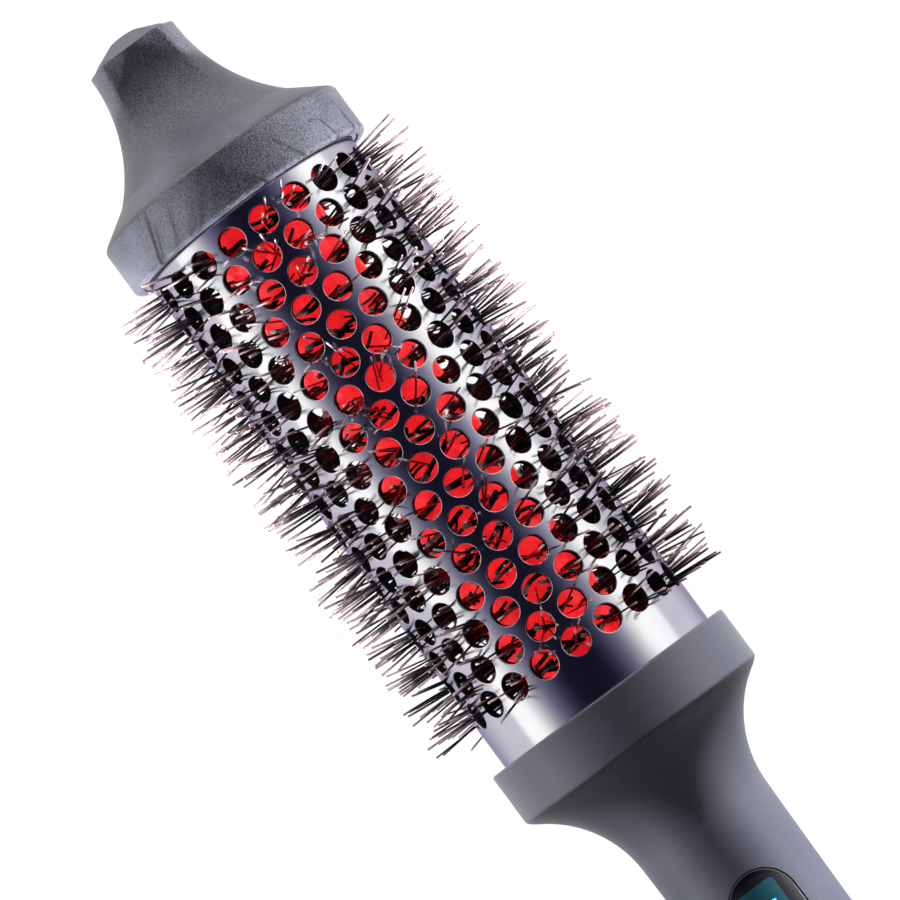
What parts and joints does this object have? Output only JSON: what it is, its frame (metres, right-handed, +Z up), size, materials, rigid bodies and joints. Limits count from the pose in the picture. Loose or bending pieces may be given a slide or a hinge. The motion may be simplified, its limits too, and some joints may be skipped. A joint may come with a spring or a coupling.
{
  "type": "heated round brush",
  "caption": "Heated round hair brush: perforated metal barrel with bristle tufts over a red heated core, cool tip, display handle with buttons, swivelling cord gland.",
  "frame": {"origin": "middle of the brush's box, on the plane that its flattened bristle ends rest on", "axes": "+X along the brush from the handle to the cool tip, +Z up, the way the display and buttons face"},
  "size_m": [0.3262, 0.072, 0.0715],
  "materials": {
    "barrel_metal": "dark anodised, glossy",
    "red_core": "red heat-proof coating, satin",
    "raw_aluminium": "extruded",
    "heater_ceramic": "fired",
    "sensor_glass": "glossy bead",
    "steel": "zinc plated",
    "lead_wire": "sleeved wire",
    "heat_plastic": "glass-filled, matt",
    "tip_plastic": "fine-grained satin",
    "lip_plastic": "polished",
    "handle_plastic": "soft-touch satin",
    "panel_gloss": "mirror gloss",
    "window_glass": "tinted",
    "display_glow": "lit display",
    "board": "solder-masked",
    "switch_plastic": "moulded",
    "button_plastic": "satin",
    "stem_plastic": "moulded",
    "capacitor_film": "dipped",
    "relay_case": "moulded",
    "block_plastic": "moulded",
    "contact_metal": "rolled",
    "gland_plastic": "moulded",
    "nylon": "nylon filament"
  },
  "bodies": {
    "handle": {"barrel": "barrel_metal", "heater_core": "red_core", "upper_spreader": "raw_aluminium", "lower_spreader": "raw_aluminium", "flat_heater": "heater_ceramic", "temperature_sensor": "sensor_glass", "thermal_fuse": "steel", "sensor_leads": "lead_wire", "heater_leads": "lead_wire", "front_hub": "heat_plastic", "rear_hub": "heat_plastic", "front_hub_screws": "steel", "rear_hub_screws": "steel", "tip_cap": "tip_plastic", "lip_ring": "lip_plastic", "collar": "handle_plastic", "upper_shell": "handle_plastic", "lower_shell": "handle_plastic", "handle_screws": "steel", "control_panel": "panel_gloss", "display_window": "window_glass", "display_module": "display_glow", "control_board": "board", "push_switches": "switch_plastic", "power_board": "board", "triac": "switch_plastic", "capacitor": "capacitor_film", "relay": "relay_case", "supply_leads": "lead_wire", "contact_block": "block_plastic", "contact_wipers": "contact_metal", "tail_cap": "handle_plastic", "gland_retainer": "heat_plastic", "bristle_ring_1": "nylon", "bristle_ring_2": "nylon", "bristle_ring_3": "nylon", "bristle_ring_4": "nylon", "bristle_ring_5": "nylon", "bristle_ring_6": "nylon", "bristle_ring_7": "nylon", "bristle_ring_8": "nylon", "bristle_ring_9": "nylon", "bristle_ring_10": "nylon", "bristle_ring_11": "nylon", "bristle_ring_12": "nylon", "bristle_ring_13": "nylon", "bristle_ring_14": "nylon", "bristle_ring_15": "nylon", "bristle_ring_16": "nylon", "bristle_ring_17": "nylon"},
    "plus_key": {"plus_button": "button_plastic", "plus_stem": "stem_plastic"},
    "minus_key": {"minus_button": "button_plastic", "minus_stem": "stem_plastic"},
    "power_key": {"power_button": "button_plastic", "power_stem": "stem_plastic"},
    "cord_swivel": {"swivel_gland": "gland_plastic", "gland_nose": "gland_plastic", "contact_rings": "contact_metal"}
  },
  "joints": [
    {"name": "plus_press", "type": "slide", "parent": "handle", "child": "plus_key", "axis": [0, 0, -1], "range_m": [0, 0.00045], "stiffness_N_per_m": 900, "springref_m": -0.0004},
    {"name": "minus_press", "type": "slide", "parent": "handle", "child": "minus_key", "axis": [0, 0, -1], "range_m": [0, 0.00045], "stiffness_N_per_m": 900, "springref_m": -0.0004},
    {"name": "power_press", "type": "slide", "parent": "handle", "child": "power_key", "axis": [0, 0, -1], "range_m": [0, 0.00045], "stiffness_N_per_m": 900, "springref_m": -0.0004},
    {"name": "cord_swivel_turn", "type": "hinge", "parent": "handle", "child": "cord_swivel", "pos_m": [-0.15213, 0, 0.0355], "axis": [1, 0, 0], "continuous": true}
  ]
}
